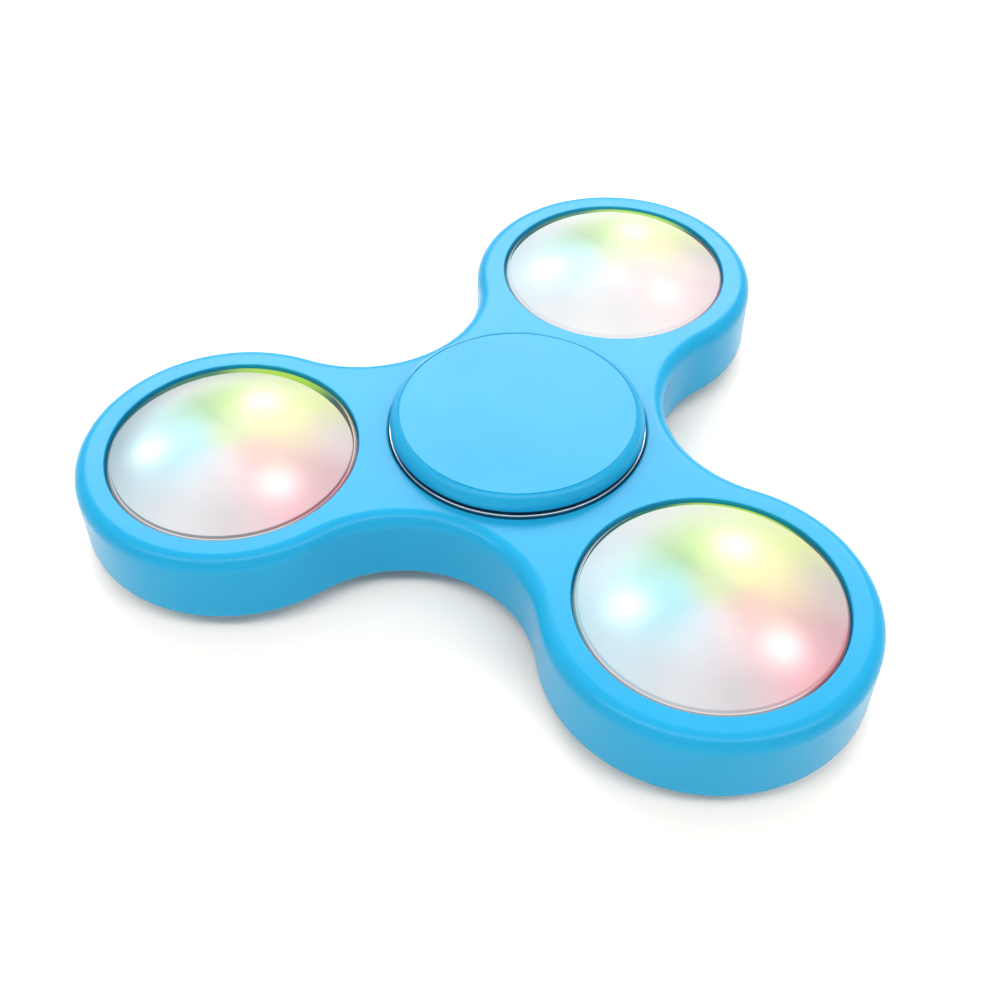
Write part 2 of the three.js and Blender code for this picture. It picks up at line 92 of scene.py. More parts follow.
DOME_RISE = 1.65  # from the top of that edge to the crown
DOME_POWER = 2.4
LENS_WALL = 0.8
LENS_SKIRT = (8.6, 9.2)
COVER = {"radius": 10.48, "thickness": 0.85, "spigot": (8.6, 8.9), "spigot_rise": 0.3, "hole": 1.75}
BOARD = {"radius": 9.2, "bottom": 5.65, "top": 6.45}
LED = {"length": 3.5, "width": 2.8, "height": 0.8, "well": 1.15, "well_floor": 0.95, "depth": 0.4}
LED_DISTANCE = 6.25  # from a capsule's middle
CHIP = {"x": 5, "y": -4.6, "width": 1.24, "length": 2.9, "height": 1.1, "standoff": 0.12}
CHIP_LEG = {"width": 0.4, "gauge": 0.09, "pitch": 0.95}
CELL = {"radius": 6.25, "height": 2, "cap": 5.2, "step": 0.2, "headroom": 0.35}
CELL_OFFSET = 2.6  # outwards from a capsule's middle
CONTACT = {"length": 7, "width": 3, "gauge": 0.1, "bow": 0.12}
CLIP = {"width": 4, "gauge": 0.2, "side_gap": 0.3, "slot_gap": 0.1, "bend": 0.35}
SWITCH = {"side": 3.6, "height": 1.6, "well": 1.05, "depth": 1}
SWITCH_OFFSET = 6.2  # inwards from a capsule's middle
PLUNGER = {"radius": 0.9, "below": 0.5, "above": 0.6}
BUTTON = {"radius": 1.6, "flange": 2.3, "dish": 1.2, "dish_depth": 0.1}

# Heights that follow from them.
UPPER_LEDGE = BODY_TOP - LEDGE_DEPTH
LOWER_LEDGE = BODY_BOTTOM + LEDGE_DEPTH
CUP_FLANGE_TOP = UPPER_LEDGE + FIT + CUP["thickness"]
LENS_FLANGE_TOP = CUP_FLANGE_TOP + FIT + FLANGE_THICKNESS
COVER_TOP = BODY_BOTTOM + COVER["thickness"]
UNDER_BOARD = BOARD["bottom"] - FIT
CELL_BOTTOM = BOARD["bottom"] - CELL["headroom"] - CELL["height"]
SWITCH_BOTTOM = UNDER_BOARD - SWITCH["height"]
PLUNGER_TIP = SWITCH_BOTTOM - PLUNGER["below"]

# -------- mesh helpers

SHARP_DEGREES = 32  # edges that turn by more than this stay sharp


def polar(radius, degrees):
    angle = math.radians(degrees)
    return Vector((radius * math.cos(angle), radius * math.sin(angle)))


def with_fillets(points, closed, steps=5):
    """The profile's (radius, height) points, with each corner rounded by its third number."""
    result = []
    last = len(points) - 1
    for index, point in enumerate(points):
        corner = Vector(point[:2])
        on_end = not closed and index in (0, last)
        if len(point) < 3 or on_end:
            result.append(corner)
            continue
        fillet = point[2]
        before = (Vector(points[index - 1][:2]) - corner).normalized()
        after = (Vector(points[(index + 1) % len(points)][:2]) - corner).normalized()
        half = before.angle(after) / 2
        centre = corner + (before + after).normalized() * fillet / math.sin(half)
        start = (corner + before * fillet / math.tan(half) - centre).normalized()
        end = (corner + after * fillet / math.tan(half) - centre).normalized()
        result += [centre + start.slerp(end, step / steps) * fillet for step in range(steps + 1)]
    return result


def shade_smooth(mesh):
    mesh.polygons.foreach_set("use_smooth", [True] * len(mesh.polygons))
    mesh.set_sharp_from_angle(angle=math.radians(SHARP_DEGREES))


def new_object(name, bm):
    """A smooth-shaded object in metres from a bmesh in millimetres."""
    bmesh.ops.remove_doubles(bm, verts=bm.verts, dist=1e-5)
    bmesh.ops.recalc_face_normals(bm, faces=bm.faces)
    mesh = bpy.data.meshes.new(name)
    bm.to_mesh(mesh)
    bm.free()
    mesh.transform(Matrix.Scale(MM, 4))
    shade_smooth(mesh)
    thing = bpy.data.objects.new(name, mesh)
    bpy.context.scene.collection.objects.link(thing)
    return thing


def turned_mesh(bm, profile, segments=96, centre=(0, 0), closed=False, material=0):
    """Adds a turned body. An open profile starts and ends on the axis, and a closed one is a ring's."""
    points = with_fillets(profile, closed)
    rings = []
    for radius, height in points:
        if radius < 1e-6:
            rings.append([bm.verts.new((*centre, height))])
            continue
        ring = []
        for step in range(segments):
            angle = 2 * math.pi * step / segments
            place = (centre[0] + radius * math.cos(angle), centre[1] + radius * math.sin(angle), height)
            ring.append(bm.verts.new(place))
        rings.append(ring)
    pairs = list(zip(rings, rings[1:]))
    if closed:
        pairs.append((rings[-1], rings[0]))
    for low, high in pairs:
        for step in range(segments):
            after = (step + 1) % segments
            # A ring that has shrunk to a point on the axis gives its one corner twice.
            lower = [low[step % len(low)], low[after % len(low)]]
            upper = [high[after % len(high)], high[step % len(high)]]
            corners = list(dict.fromkeys(lower + upper))
            if len(corners) > 2:
                bm.faces.new(corners).material_index = material


def turned(name, profile, segments=96, closed=False):
    bm = bmesh.new()
    turned_mesh(bm, profile, segments, closed=closed)
    return new_object(name, bm)


def block_mesh(bm, low, high, bevel=0.1, material=0):
    """Adds a box between two corners, with rounded edges."""
    made = bmesh.ops.create_cube(bm, size=1)["verts"]
    for vert in made:
        vert.co = Vector((low[i] if vert.co[i] < 0 else high[i] for i in range(3)))
    edges = list(dict.fromkeys(edge for vert in made for edge in vert.link_edges))
    for vert in made:
        for face in vert.link_faces:
            face.material_index = material
    settings = {"segments": 3, "profile": 0.5, "affect": "EDGES", "material": material}
    bmesh.ops.bevel(bm, geom=edges, offset=bevel, **settings)


def strip_mesh(bm, centreline, gauge, low_y, high_y, material=0):
    """Adds a strip of metal: a centreline in X and Z made gauge thick, from low_y to high_y."""
    points = [Vector(p) for p in centreline]
    upper, lower = [], []
    for index, point in enumerate(points):
        ahead = points[min(index + 1, len(points) - 1)] - points[max(index - 1, 0)]
        side = Vector((-ahead.y, ahead.x)).normalized() * gauge / 2
        upper.append(point + side)
        lower.append(point - side)
    outline = upper + lower[::-1]
    ends = [[bm.verts.new((p.x, y, p.y)) for p in outline] for y in (low_y, high_y)]
    count = len(outline)
    quads = []
    for step in range(count):
        after = (step + 1) % count
        quads.append((ends[0][step], ends[0][after], ends[1][after], ends[1][step]))
    for end in ends:
        for step in range(len(points) - 1):
            quads.append((end[step], end[step + 1], end[count - 2 - step], end[count - 1 - step]))
    for quad in quads:
        bm.faces.new(quad).material_index = material


def cut(thing, *cutters):
    """Cuts the other objects out of this one and removes them."""
    for cutter in cutters:
        modifier = thing.modifiers.new("cut", "BOOLEAN")
        modifier.object = cutter
        modifier.operation = "DIFFERENCE"
        modifier.solver = "EXACT"
    bpy.context.view_layer.update()
    depsgraph = bpy.context.evaluated_depsgraph_get()
    mesh = bpy.data.meshes.new_from_object(thing.evaluated_get(depsgraph))
    thing.modifiers.clear()
    old = thing.data
    thing.data = mesh
    bpy.data.meshes.remove(old)
    for cutter in cutters:
        bpy.data.objects.remove(cutter)
    shade_smooth(mesh)
    return thing


# -------- shader helpers


class Nodes:
    """Short ways to add nodes to a node tree and join them."""

    def __init__(self, tree):
        self.tree = tree

    def add(self, kind, settings=None, **sockets):
        made = self.tree.nodes.new(kind)
        for key, value in (settings or {}).items():
            setattr(made, key, value)
        for socket, value in sockets.items():
            self.join(value, made.inputs[socket.replace("_", " ")])
        return made

    def join(self, value, socket):
        if isinstance(value, bpy.types.NodeSocket):
            self.tree.links.new(value, socket)
        else:
            socket.default_value = value

    def calc(self, operation, first, second=0.0):
        made = self.add("ShaderNodeMath", {"operation": operation})
        for value, socket in zip((first, second), made.inputs):
            self.join(value, socket)
        return made.outputs[0]

    def smooth(self, value, low, high):
        """0 below low and 1 above high, with a smooth step between them."""
        made = self.add("ShaderNodeMapRange", {"interpolation_type": "SMOOTHSTEP"}, Value=value)
        made.inputs["From Min"].default_value = low
        made.inputs["From Max"].default_value = high
        return made.outputs["Result"]


class Sky(Nodes):
    """The light that comes from each direction."""

    def softbox(self, start, end, half_width, soft, radiance):
        """A soft-edged panel. Start and end are angles in degrees from straight up, positive towards
        the camera, and half_width is to each side."""
        direction = self.add("ShaderNodeTexCoord").outputs["Generated"]
        turn = math.radians(CAMERA_AZIMUTH)
        parts = []
        to_camera = (math.sin(turn), -math.cos(turn), 0)
        to_side = (math.cos(turn), math.sin(turn), 0)
        for axis in (to_camera, to_side, (0, 0, 1)):
            dot = self.add("ShaderNodeVectorMath", {"operation": "DOT_PRODUCT"})
            self.join(direction, dot.inputs[0])
            dot.inputs[1].default_value = axis
            parts.append(dot.outputs["Value"])
        towards, sideways, up = parts
        tilt = self.calc("DEGREES", self.calc("ARCTAN2", towards, up))
        swing = self.calc("DEGREES", self.calc("ARCSINE", self.calc("ABSOLUTE", sideways)))
        after_start = self.smooth(tilt, start, start + soft)
        before_end = self.smooth(tilt, end, end - soft)
        within = self.smooth(swing, half_width, half_width - soft)
        inside = self.calc("MULTIPLY", self.calc("MULTIPLY", after_start, before_end), within)
        return self.calc("MULTIPLY", inside, radiance)


class Shader(Nodes):
    """A material with one Principled surface."""

    def __init__(self, name, **sockets):
        self.material = bpy.data.materials.new(name)
        self.material.use_nodes = True
        super().__init__(self.material.node_tree)
        self.surface = self.tree.nodes["Principled BSDF"]
        for socket, value in sockets.items():
            self.surface.inputs[socket.replace("_", " ")].default_value = value

    def vector(self, operation, first, second=(0, 0, 0)):
        made = self.add("ShaderNodeVectorMath", {"operation": operation})
        self.join(first, made.inputs[0])
        self.join(second, made.inputs[1])
        return made.outputs["Value" if operation in ("LENGTH", "DOT_PRODUCT") else "Vector"]

    def scaled(self, colour, factor):
        made = self.add("ShaderNodeVectorMath", {"operation": "SCALE"})
        self.join(colour, made.inputs[0])
        self.join(factor, made.inputs["Scale"])
        return made.outputs["Vector"]

    def place(self):
        """The point on the piece in millimetres from the piece's own origin."""
        return self.scaled(self.add("ShaderNodeTexCoord").outputs["Object"], 1 / MM)

    def noise(self, size, detail=3.0, roughness=0.5, stretch=(1, 1, 1)):
        """Noise from 0 to 1 whose features are about size millimetres wide."""
        where = self.vector("MULTIPLY", self.place(), stretch)
        settings = {"Scale": 1 / size, "Detail": detail, "Roughness": roughness}
        return self.add("ShaderNodeTexNoise", Vector=where, **settings).outputs["Fac"]

    def ranged(self, value, low, high, from_low=0.3, from_high=0.7):
        """Low to high as the value goes from from_low to from_high, by default the range of noise."""
        made = self.add("ShaderNodeMapRange", Value=value)
        made.inputs["From Min"].default_value = from_low
        made.inputs["From Max"].default_value = from_high
        made.inputs["To Min"].default_value = low
        made.inputs["To Max"].default_value = high
        return made.outputs["Result"]

    def mix(self, factor, first, second):
        made = self.add("ShaderNodeMix", {"data_type": "RGBA"})
        self.join(factor, made.inputs["Factor"])
        self.join(first, made.inputs[6])
        self.join(second, made.inputs[7])
        return made.outputs[2]

    def ramp(self, value, stops):
        """A colour that runs through the stops, which are (place from 0 to 1, tint)."""
        made = self.add("ShaderNodeValToRGB", Fac=value)
        elements = made.color_ramp.elements
        for index, (place, tint) in enumerate(stops):
            stop = elements[index] if index < 2 else elements.new(place)
            stop.position = place
            stop.color = rgba(*tint)
        return made.outputs["Color"]

    def bump(self, height, depth, strength=1.0, under=None):
        """Bumps of the given depth in millimetres."""
        made = self.add("ShaderNodeBump", Height=height, Distance=depth * MM, Strength=strength)
        if under is not None:
            self.join(under, made.inputs["Normal"])
        return made.outputs["Normal"]

    def set(self, **sockets):
        for socket, value in sockets.items():
            self.join(value, self.surface.inputs[socket.replace("_", " ")])
        return self.material


def rgba(red, green, blue):
    return (red, green, blue, 1)


def shade(colour, factor):
    return rgba(*(min(1, channel * factor) for channel in colour))


# -------- materials


def moulded_plastic(name, colour, roughness, grain=0.004, specular=0.5):
    """Moulded plastic: a faint flow mottle in the colour, patchy gloss and a fine spark-eroded grain."""
    s = Shader(name, IOR=1.5, Specular_IOR_Level=specular)
    flow = s.noise(9, detail=4)
    patches = s.noise(2.5, detail=5)
    texture = s.noise(0.16, detail=2, roughness=0.6)
    ripple = s.noise(6, detail=1)
    colour_now = s.mix(s.ranged(flow, 0, 1), shade(colour, 0.965), shade(colour, 1.03))
    rough = s.ranged(patches, roughness - 0.035, roughness + 0.03)
    normal = s.bump(texture, grain, under=s.bump(ripple, 0.012))
    return s.set(Base_Color=colour_now, Roughness=rough, Normal=normal)


def facing(s, outwards, direction, half_width):
    """1 in a direction and 0 from half_width degrees to each side of it."""
    lined_up = s.vector("DOT_PRODUCT", outwards, (*polar(1, direction), 0))
    return s.smooth(lined_up, math.cos(math.radians(half_width)), 1)


def own_number(s, name):
    """A number that each object which wears the material sets for itself."""
    settings = {"attribute_type": "OBJECT", "attribute_name": name}
    return s.add("ShaderNodeAttribute", settings).outputs["Fac"]


def led_colours(s, place, flat, radius):
    """The LEDs' glow, painted by direction round the dome and burnt out to white over each LED."""
    x, y = (s.add("ShaderNodeSeparateXYZ", Vector=place).outputs[axis] for axis in "XY")
    turn = s.calc("FRACT", s.calc("ADD", s.calc("DIVIDE", s.calc("ARCTAN2", y, x), 2 * math.pi), 1))
    inner = s.ramp(turn, [(direction / 360, tint) for direction, tint, _ in DOME_TINTS])
    outer = s.ramp(turn, [(direction / 360, tint) for direction, _, tint in DOME_TINTS])
    glow = s.mix(s.smooth(radius, *OUTER_TINTS_BLEND), inner, outer)
    glow = s.mix(s.smooth(radius, 0, MIDDLE_REACH), rgba(*MIDDLE_TINT), glow)
    for direction, distance, reach, strength in LED_CORES:
        away = s.vector("LENGTH", s.vector("SUBTRACT", flat, (*polar(distance, direction), 0)))
        fall = s.calc("POWER", s.calc("DIVIDE", away, reach), 2)
        core = s.calc("MULTIPLY", s.calc("EXPONENT", s.calc("MULTIPLY", fall, -1)), strength)
        glow = s.vector("ADD", glow, s.scaled((1, 1, 1), core))
    return glow


def dimming_at_rims(s, place, radius, outwards, flange):
    """What is left of the glow on the dome's upright edge, in the crack round the flange and on the
    shaded side."""
    height = s.add("ShaderNodeSeparateXYZ", Vector=place).outputs["Z"]
    edge_top = LENS_FLANGE_TOP + DOME_STEP
    face = s.smooth(height, edge_top - 0.12, edge_top)
    edge = s.calc("MAXIMUM", s.calc("MAXIMUM", face, flange), own_number(s, "edge"))
    crack = s.smooth(radius, FLANGE_RADIUS - 0.2, FLANGE_RADIUS - 0.12)
    left = s.calc("MULTIPLY", edge, s.ranged(crack, 1, CRACK_DIMMING, 0, 1))
    side = facing(s, outwards, *SHADED_SPAN)
    side = s.calc("MULTIPLY", side, s.smooth(radius, SHADED_FROM, DOME_RADIUS))
    shade_share = s.calc("MULTIPLY", side, own_number(s, "shaded"))
    return s.calc("MULTIPLY", left, s.calc("SUBTRACT", 1, shade_share))


def milky_lens_plastic(name):
    """A milky moulding with its LEDs' glow painted on as emission, and painted shade and reflections in
    that glow. Each lens has its own LENS_LOOKS, set on its object.
    """
    s = Shader(name, IOR=1.46, Specular_IOR_Level=0.12)
    place = s.place()
    flat = s.vector("MULTIPLY", place, (1, 1, 0))
    radius = s.vector("LENGTH", flat)
    outwards = s.vector("NORMALIZE", flat)
    glow = led_colours(s, place, flat, radius)
    flange = s.smooth(radius, DOME_RADIUS, DOME_RADIUS + 0.05)
    # Painted on the flange: the LEDs' glow and a reflection of the lit dome.
    for direction, half_width, tint in FLANGE_GLOW_AND_REFLECTION:
        share = s.calc("MULTIPLY", facing(s, outwards, direction, half_width), flange)
        glow = s.mix(share, glow, rgba(*tint))
    # Painted whitening of the glow, growing towards one side of each lens by that lens's own amount.
    across = s.vector("DOT_PRODUCT", flat, (*polar(1, WHITENING_DIRECTION), 0))
    painted_whitening = s.calc("MULTIPLY", own_number(s, "painted_whitening"), s.ranged(across, *WHITENING_SHARES, *WHITENING_SPAN))
    glow = s.mix(painted_whitening, glow, rgba(*PAINTED_WHITENING_TINT))
    dimming = dimming_at_rims(s, place, radius, outwards, flange)
    cloud = s.ranged(s.noise(3, detail=4), 0.985, 1.015)
    glow = s.scaled(glow, s.calc("MULTIPLY", dimming, cloud))
    glow = s.vector("MAXIMUM", s.vector("SUBTRACT", glow, (AMBIENT_SHARE,) * 3), (0.01,) * 3)
    # A thin dark crescent is painted on the far rim: painted shade and a painted view of the body's wall
    # through the moulding.
    tint = rgba(*PAINTED_CRESCENT_TINT)
    for direction, half_width, nearby in PAINTED_CRESCENT_TINTS:
        tint = s.mix(facing(s, outwards, direction, half_width), tint, rgba(*nearby))
    bulge = s.calc("MULTIPLY", facing(s, outwards, *PAINTED_CRESCENT_SPAN), own_number(s, "crescent"))
    inside = s.smooth(s.calc("ADD", radius, bulge), DOME_RADIUS, DOME_RADIUS + 0.08)
    inside = s.calc("MULTIPLY", inside, s.calc("SUBTRACT", 1, flange))
    glow = s.mix(inside, glow, tint)
    base = s.mix(s.ranged(s.noise(4), 0, 1), rgba(0.11, 0.11, 0.115), rgba(0.13, 0.13, 0.135))
    # The painted crescent darkens the base colour too.
    base = s.mix(inside, base, rgba(0.01, 0.03, 0.02))
    rough = s.ranged(s.noise(1.5, detail=5), 0.2, 0.27)
    s.set(Base_Color=base, Emission_Color=glow, Emission_Strength=1.0)
    return s.set(Roughness=rough, Normal=s.bump(s.noise(5, detail=1), 0.006))


def turned_steel(name, colour, roughness, groove=0.07, depth=0.0012):
    """Steel with fine concentric tool marks."""
    s = Shader(name, Metallic=1.0)
    x, y, z = (s.add("ShaderNodeSeparateXYZ", Vector=s.place()).outputs[i] for i in range(3))
    radius = s.calc("SQRT", s.calc("ADD", s.calc("MULTIPLY", x, x), s.calc("MULTIPLY", y, y)))
    drift = s.calc("MULTIPLY", s.calc("ARCTAN2", y, x), 0.15)
    where = s.add("ShaderNodeCombineXYZ", X=radius, Y=z, Z=drift).outputs[0]
    lines = s.add("ShaderNodeTexNoise", Vector=where, Scale=1 / groove, Detail=2.0).outputs["Fac"]
    stain = s.noise(3, detail=4)
    tone = s.mix(s.ranged(stain, 0, 1), shade(colour, 0.9), shade(colour, 1.05))
    rough = s.calc("ADD", s.ranged(lines, roughness - 0.05, roughness + 0.08), s.ranged(stain, 0, 0.06))
    return s.set(Base_Color=tone, Roughness=rough, Normal=s.bump(lines, depth))


def sheet_metal(name, colour, roughness, stretch=(1, 8, 8)):
    """Rolled sheet, with its grain along X, faint stains and soft dents."""
    s = Shader(name, Metallic=1.0)
    grain = s.noise(0.25, detail=3, stretch=stretch)
    stain = s.noise(1.6, detail=4)
    tone = s.mix(s.ranged(stain, 0, 1), shade(colour, 0.85), shade(colour, 1.06))
    rough = s.calc("ADD", s.ranged(grain, roughness - 0.06, roughness + 0.08), s.ranged(stain, 0, 0.08))
    normal = s.bump(grain, 0.002, under=s.bump(s.noise(2.5), 0.01))
    return s.set(Base_Color=tone, Roughness=rough, Normal=normal)


def board_laminate(name):
    """Green solder mask over a woven glass board, with copper tracks showing paler under it."""
    s = Shader(name, IOR=1.55, Coat_Weight=0.3, Coat_Roughness=0.12)
    bands = {"wave_type": "BANDS"}
    weave = s.add("ShaderNodeTexWave", bands, Vector=s.place(), Scale=2.2, Distortion=0.6)
    tracks = s.add("ShaderNodeTexBrick", Vector=s.place(), Scale=1.0)
    for socket, number in (("Mortar Size", 0.1), ("Brick Width", 2.6), ("Row Height", 1.3)):
        tracks.inputs[socket].default_value = number
    mask = s.mix(tracks.outputs["Fac"], rgba(0.012, 0.135, 0.062), rgba(0.03, 0.24, 0.10))
    mask = s.mix(s.ranged(weave.outputs["Fac"], 0, 0.18, 0, 1), mask, rgba(0.05, 0.20, 0.09))
    rough = s.ranged(s.noise(1.5, detail=4), 0.3, 0.42)
    normal = s.bump(tracks.outputs["Fac"], 0.02, under=s.bump(weave.outputs["Fac"], 0.004))
    return s.set(Base_Color=mask, Roughness=rough, Normal=normal)


def led_glow(name, colour, strength):
    """Lit phosphor resin, with grains in it."""
    s = Shader(name, IOR=1.5, Roughness=0.25)
    grains = s.ranged(s.noise(0.12, detail=3), 0.8, 1.1)
    base = s.mix(s.ranged(s.noise(0.3), 0, 1), shade(colour, 0.7), rgba(*colour))
    return s.set(Base_Color=base, Emission_Color=s.scaled(base, grains), Emission_Strength=strength)


SKY_BLUE = (0.011, 0.313, 0.56)
# The lit dome's tints by direction in degrees: half-way out, then near the rim.
DOME_TINTS = [
    (0, (0.92, 0.66, 0.52), (0.74, 0.46, 0.49)),
    (30, (0.95, 0.84, 0.46), (0.66, 0.61, 0.57)),
    (60, (0.96, 0.99, 0.47), (0.77, 0.86, 0.38)),
    (90, (0.81, 0.96, 0.44), (0.85, 0.95, 0.57)),
    (120, (0.64, 0.87, 0.32), (0.85, 0.93, 0.77)),
    (150, (0.44, 0.70, 0.35), (0.86, 0.89, 0.91)),
    (180, (0.47, 0.83, 0.71), (0.70, 0.86, 0.93)),
    (210, (0.49, 0.90, 0.94), (0.60, 0.85, 0.94)),
    (240, (0.52, 0.87, 0.95), (0.65, 0.83, 0.91)),
    (270, (0.77, 0.88, 0.93), (0.77, 0.79, 0.81)),
    (300, (0.94, 0.80, 0.82), (0.72, 0.66, 0.68)),
    (330, (0.95, 0.64, 0.59), (0.94, 0.50, 0.53)),
    (360, (0.92, 0.66, 0.52), (0.74, 0.46, 0.49)),
]
OUTER_TINTS_BLEND = (4, 9.5)  # the radii between which the outer tints take over
MIDDLE_TINT = (0.71, 0.83, 0.48)
MIDDLE_REACH = 3.4
# The white-hot places over the LEDs: direction, distance from the capsule's middle, reach, strength.
LED_CORES = [(87, 4.8, 1.7, 0.5), (216, 6.7, 1.6, 0.5), (334, 7.0, 1.7, 0.5)]
# Painted light on the flange, the LEDs' glow and a painted reflection of the lit dome that is strongest
# on the near side: direction, half width in degrees, and tint.
FLANGE_GLOW_AND_REFLECTION = [
    (270, 179, (0.86, 0.83, 0.84)),
    (352, 30, (0.85, 0.34, 0.42)),
    (203, 30, (0.50, 0.84, 0.92)),
]
# The far rim's painted crescent: painted shade and a painted view of the body's wall.
PAINTED_CRESCENT_SPAN = (112, 95)  # the direction of the far rim's crescent, and its half width in degrees
PAINTED_CRESCENT_TINT = (0.01, 0.08, 0.10)
# The crescent's painted tints by direction, half width in degrees and tint: the body's wall as each
# LED's light would tint it.
PAINTED_CRESCENT_TINTS = [
    (130, 36, (0.01, 0.13, 0.05)),
    (94, 38, (0.36, 0.62, 0.02)),
    (28, 34, (0.12, 0.05, 0.06)),
    (2, 22, (0.45, 0.04, 0.10)),
]
# The glow's painted whitening: its tint, the side where it is strongest, its shares of a lens's amount,
# and the span they run over.
PAINTED_WHITENING_TINT = (1.0, 0.99, 0.98)
WHITENING_DIRECTION = 300  # the side that is washed out the most
WHITENING_SHARES = (0.45, 1.9)  # of a lens's wash, at the two ends of the span
WHITENING_SPAN = (-1.3, DOME_RADIUS)  # from the capsule's middle, towards that side
SHADED_SPAN = (165, 110)  # the direction of the shaded side, and its half width in degrees
SHADED_FROM = 6.5  # the radius at which the shade begins
# By lobe, from the one on +Y round to the one at 330 degrees: how far the glow is painted whiter,
# how much painted shade dims its shaded side, what is left of the glow on the dome's upright edge,
# and how wide the painted crescent is in millimetres.
LENS_LOOKS = [
    {"painted_whitening": 0.42, "shaded": 0.1, "edge": 1.0, "crescent": 1.15},
    {"painted_whitening": 0.1, "shaded": 0.4, "edge": 0.5, "crescent": 1.1},
    {"painted_whitening": 0.0, "shaded": 0.1, "edge": 0.85, "crescent": 0.45},
]
CRACK_DIMMING = 0.45  # what is left of the glow in the crack round the flange
AMBIENT_SHARE = 0.18  # taken off the glow, because the studio's light adds as much

blue_plastic = moulded_plastic("satin blue plastic", SKY_BLUE, 0.24, grain=0.0025, specular=0.17)
white_plastic = moulded_plastic("white plastic", (0.82, 0.83, 0.85), 0.32, grain=0.003)
black_plastic = moulded_plastic("black plastic", (0.018, 0.019, 0.021), 0.45)
chip_resin = moulded_plastic("chip resin", (0.022, 0.023, 0.025), 0.55, grain=0.008)
led_package = moulded_plastic("LED package", (0.78, 0.78, 0.74), 0.4, grain=0.003)
seal_rubber = moulded_plastic("cell seal", (0.02, 0.02, 0.022), 0.6)
lens_plastic = milky_lens_plastic("milky lens with painted glow")
ring_steel = turned_steel("ground bearing steel", (0.46, 0.48, 0.51), 0.16)
shield_steel = turned_steel("spun shield steel", (0.56, 0.57, 0.59), 0.3, groove=0.12, depth=0.003)
ball_steel = turned_steel("polished ball steel", (0.66, 0.67, 0.69), 0.08, depth=0.0003)
cage_steel = sheet_metal("pressed cage steel", (0.50, 0.46, 0.38), 0.35)
cell_steel = turned_steel("nickel-plated cell can", (0.60, 0.60, 0.59), 0.26, groove=0.1)
spring_steel = sheet_metal("tinned spring steel", (0.55, 0.54, 0.51), 0.28)
brass = sheet_metal("brass", (0.72, 0.50, 0.19), 0.3)
laminate = board_laminate("circuit board laminate")
LED_COLOURS = {"yellow": (0.85, 1.0, 0.12), "cyan": (0.10, 0.85, 1.0), "red": (1.0, 0.08, 0.12)}
led_resin = {name: led_glow(f"{name} LED resin", colour, 6) for name, colour in LED_COLOURS.items()}

# -------- putting pieces in the frame

record = frame["record"]
body_of = {node: body for body, nodes in record["behaviour"]["bodies"].items() for node in nodes}


def stand_in(thing, node, slot, *materials):
    """The piece takes the CAD node's place: it rides on the same body and takes the materials."""
    thing.name = f"fine_{node}"
    thing.data.name = thing.name
    thing.data.materials.clear()
    for material in materials:
        thing.data.materials.append(material)
    weighting = thing.modifiers.new("even shading", "WEIGHTED_NORMAL")
    weighting.keep_sharp = True
    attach(thing, body_of[node])
    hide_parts(node)
    return thing


def lobe_direction(lobe):
    return 90 + lobe * 360 / LOBES


def put_in_lobe(thing, lobe, turn=True):
    """Moves a piece modelled about the capsule's own middle, with +Y outwards, into a lobe."""
    thing.location = (*(polar(LOBE_DISTANCE, lobe_direction(lobe)) * MM), 0)
    if turn:
        thing.data.transform(Matrix.Rotation(math.radians(lobe * 360 / LOBES), 4, "Z"))
    return thing


# -------- body


def body_outline(inset, lobe_steps=72, waist_steps=32):
    """The tri-lobe outline moved in by inset: an arc round each lobe and a hollow arc between two."""
    half = math.pi / LOBES
    reach = LOBE_DISTANCE * math.cos(half)
    across = LOBE_DISTANCE**2 + WAIST_RADIUS**2 - 2 * reach * WAIST_RADIUS
    hollow_radius = (across - LOBE_RADIUS**2) / (2 * (LOBE_RADIUS + reach - WAIST_RADIUS))
    hollow_distance = WAIST_RADIUS + hollow_radius
    along = hollow_distance * math.cos(half) - LOBE_DISTANCE
    lean = math.atan2(hollow_distance * math.sin(half), along)
    outline = []

    def add_arc(distance, direction, radius, start, sweep, steps):
        for step in range(steps):
            angle = start + sweep * step / steps
            x = distance * math.cos(direction) + radius * math.cos(angle)
            y = distance * math.sin(direction) + radius * math.sin(angle)
            outline.append((x, y))

    for lobe in range(LOBES):
        axis = math.pi / 2 + lobe * 2 * half
        hollow = axis + half
        add_arc(LOBE_DISTANCE, axis, LOBE_RADIUS - inset, axis - lean, 2 * lean, lobe_steps)
        start = axis + lean + math.pi
        sweep = 2 * (hollow + math.pi - start)
        add_arc(hollow_distance, hollow, hollow_radius + inset, start, sweep, waist_steps)
    return outline


def quarter_turn(steps):
    return [math.radians(90 * step / steps) for step in range(steps + 1)]


def hole_cutter(name, levels, centre, rim, rim_round):
    """A cutter for a hole through the body, whose mouths at both faces flare in a small round."""
    flare = [
        (rim + rim_round * (1 - math.cos(angle)), rim_round * (1 - math.sin(angle)))
        for angle in quarter_turn(6)
    ]
    bottom = [(radius, BODY_BOTTOM + depth) for radius, depth in reversed(flare)]
    top = [(radius, BODY_TOP - depth) for radius, depth in flare]
    mouth = rim + rim_round
    profile = [(0, BODY_BOTTOM - PAST), (mouth, BODY_BOTTOM - PAST), *bottom, *levels, *top]
    profile += [(mouth, BODY_TOP + PAST), (0, BODY_TOP + PAST)]
    bm = bmesh.new()
    turned_mesh(bm, profile, 144, centre=centre)
    return new_object(name, bm)


BEARING_SEAT_ROUND = 0.25  # at the seats' mouths
CAPSULE_SEAT_ROUND = 0.12


